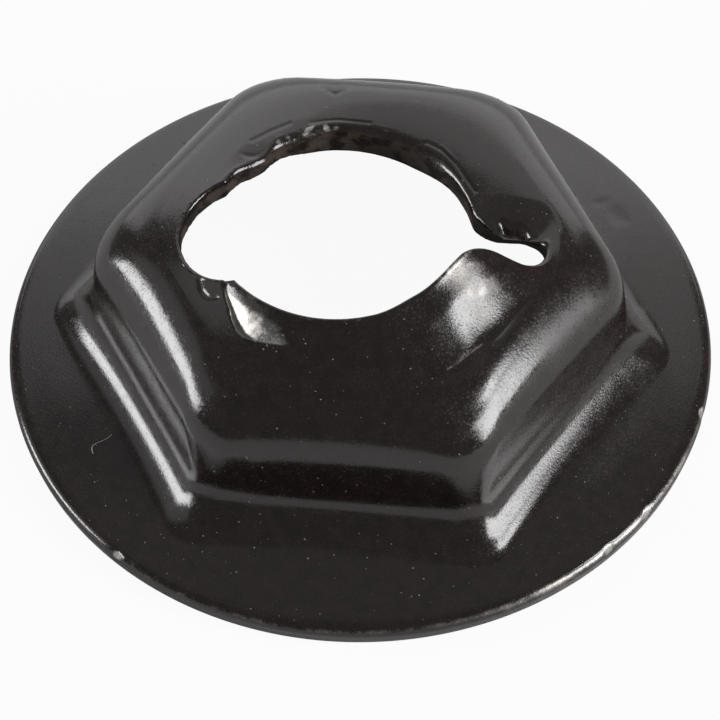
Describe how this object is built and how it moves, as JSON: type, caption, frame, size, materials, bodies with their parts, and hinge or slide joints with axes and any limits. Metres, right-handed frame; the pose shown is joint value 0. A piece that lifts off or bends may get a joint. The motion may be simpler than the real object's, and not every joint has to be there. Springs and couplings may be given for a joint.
{
  "type": "flange nut",
  "caption": "Pressed sheet-steel flange nut with a dished round flange, a raised hexagon and a split hole lip formed as a thread, finished in black oxide.",
  "frame": {"origin": "centre of the round flange on the plane it seats on", "axes": "+Z along the flange's axis from the seat to the crown, +X towards the slot in the lip, +Y towards the back of the nut in the picture"},
  "size_m": [0.015, 0.015, 0.0049],
  "materials": {
    "black_oxide_steel": "semi-gloss black oxide on spring steel, worn bright at the rim"
  },
  "bodies": {
    "root": {"flange_nut": "black_oxide_steel"}
  },
  "joints": []
}
